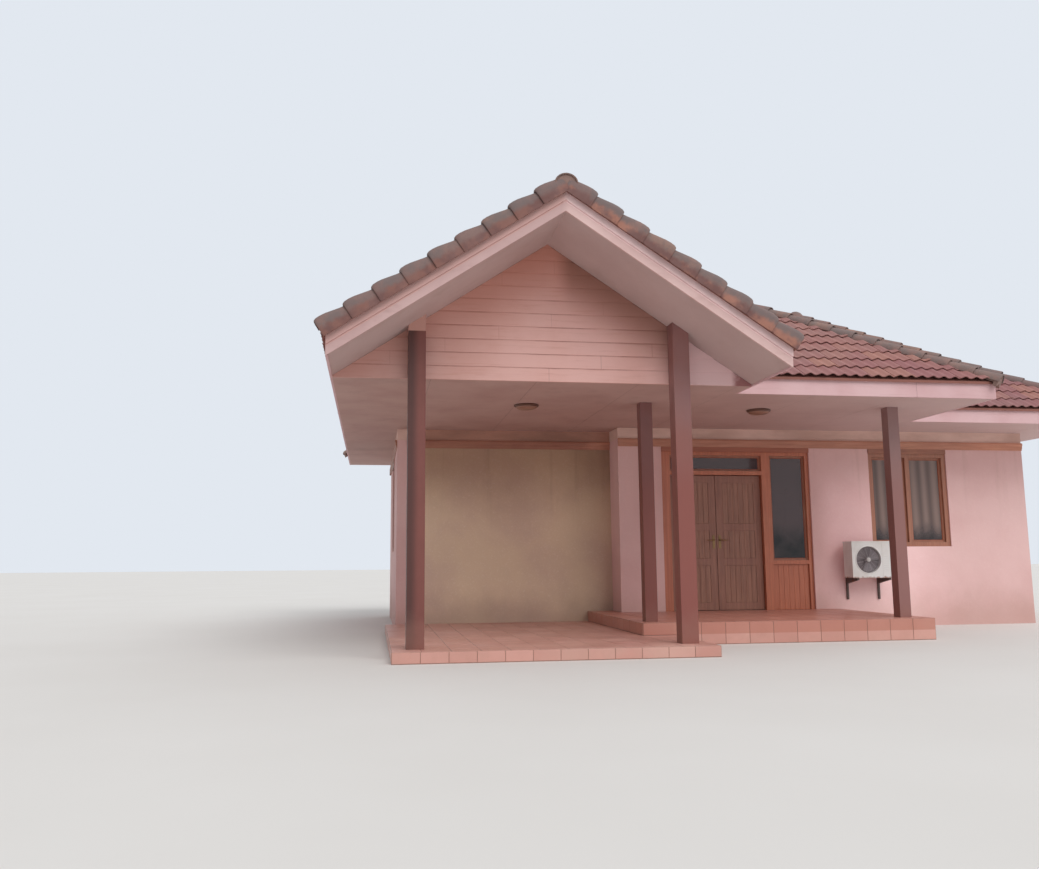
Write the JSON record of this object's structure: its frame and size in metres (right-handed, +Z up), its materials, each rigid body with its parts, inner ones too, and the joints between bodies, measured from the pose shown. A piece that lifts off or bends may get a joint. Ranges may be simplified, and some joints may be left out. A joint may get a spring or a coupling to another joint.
{
  "type": "bungalow",
  "caption": "Single-storey bungalow with a gabled carport, a hipped porch and wing, wavy tiled roof, square columns, timber door leaves and windows.",
  "frame": {"origin": "on the ground, midway between the carport's front columns, at their front face", "axes": "+X to the right along the front, +Y back into the house, +Z up"},
  "size_m": [11.936, 10.448, 6.1495],
  "materials": {
    "floor_tile": "matt glazed floor tile",
    "cream_plaster": "painted render",
    "pink_plaster": "painted render",
    "maroon_paint": "semi-gloss masonry paint",
    "siding_paint": "painted fibre cement boards",
    "barge_paint": "painted fibre cement boards",
    "soffit_paint": "painted fibre cement sheet",
    "roof_tile": "weathered concrete tile",
    "cap_tile": "weathered concrete tile",
    "moulding_wood": "stained timber",
    "frame_wood": "varnished timber",
    "door_wood": "varnished timber",
    "window_glass": "dark clear glass",
    "lamp_bowl": "opal bowl",
    "condenser_paint": "white enamel",
    "bracket_steel": "grey enamel"
  },
  "bodies": {
    "house": {"carport_floor": "floor_tile", "porch_floor": "floor_tile", "house_floor": "floor_tile", "carport_wall": "cream_plaster", "return_wall": "pink_plaster", "porch_wall": "pink_plaster", "entrance_lintel": "pink_plaster", "wing_wall": "pink_plaster", "left_wall": "pink_plaster", "right_wall": "pink_plaster", "back_wall": "pink_plaster", "carport_column_left": "maroon_paint", "carport_column_right": "maroon_paint", "porch_column_left": "maroon_paint", "porch_column_right": "maroon_paint", "gable_siding": "siding_paint", "left_barge_board": "barge_paint", "right_barge_board": "barge_paint", "gable_soffit": "soffit_paint", "carport_ceiling": "soffit_paint", "porch_ceiling": "soffit_paint", "eaves_soffit": "soffit_paint", "house_ceiling": "soffit_paint", "porch_fascia": "barge_paint", "wing_fascia": "barge_paint", "back_fascia": "barge_paint", "left_fascia": "barge_paint", "gable_fascia": "barge_paint", "left_slope": "roof_tile", "gable_right_slope": "roof_tile", "porch_front_slope": "roof_tile", "porch_right_slope": "roof_tile", "wing_front_slope": "roof_tile", "wing_right_slope": "roof_tile", "back_slope": "roof_tile", "ridge_caps": "cap_tile", "hip_caps": "cap_tile", "verge_caps": "cap_tile", "carport_moulding": "moulding_wood", "porch_moulding": "moulding_wood", "entrance_frame": "frame_wood", "side_light_panel": "frame_wood", "front_window_frame": "frame_wood", "side_window_frames": "frame_wood", "window_glass": "window_glass", "carport_lamp": "lamp_bowl", "porch_lamp": "lamp_bowl", "condenser": "condenser_paint", "condenser_bracket": "bracket_steel"},
    "left_leaf": {"left_door": "door_wood"},
    "right_leaf": {"right_door": "door_wood"}
  },
  "joints": [
    {"name": "left_door_hinge", "type": "hinge", "parent": "house", "child": "left_leaf", "pos_m": [2.548, 3.795, 1.303], "axis": [0, 0, 1], "range_deg": [0, 100]},
    {"name": "right_door_hinge", "type": "hinge", "parent": "house", "child": "right_leaf", "pos_m": [4.012, 3.795, 1.303], "axis": [0, 0, -1], "range_deg": [0, 100]}
  ]
}
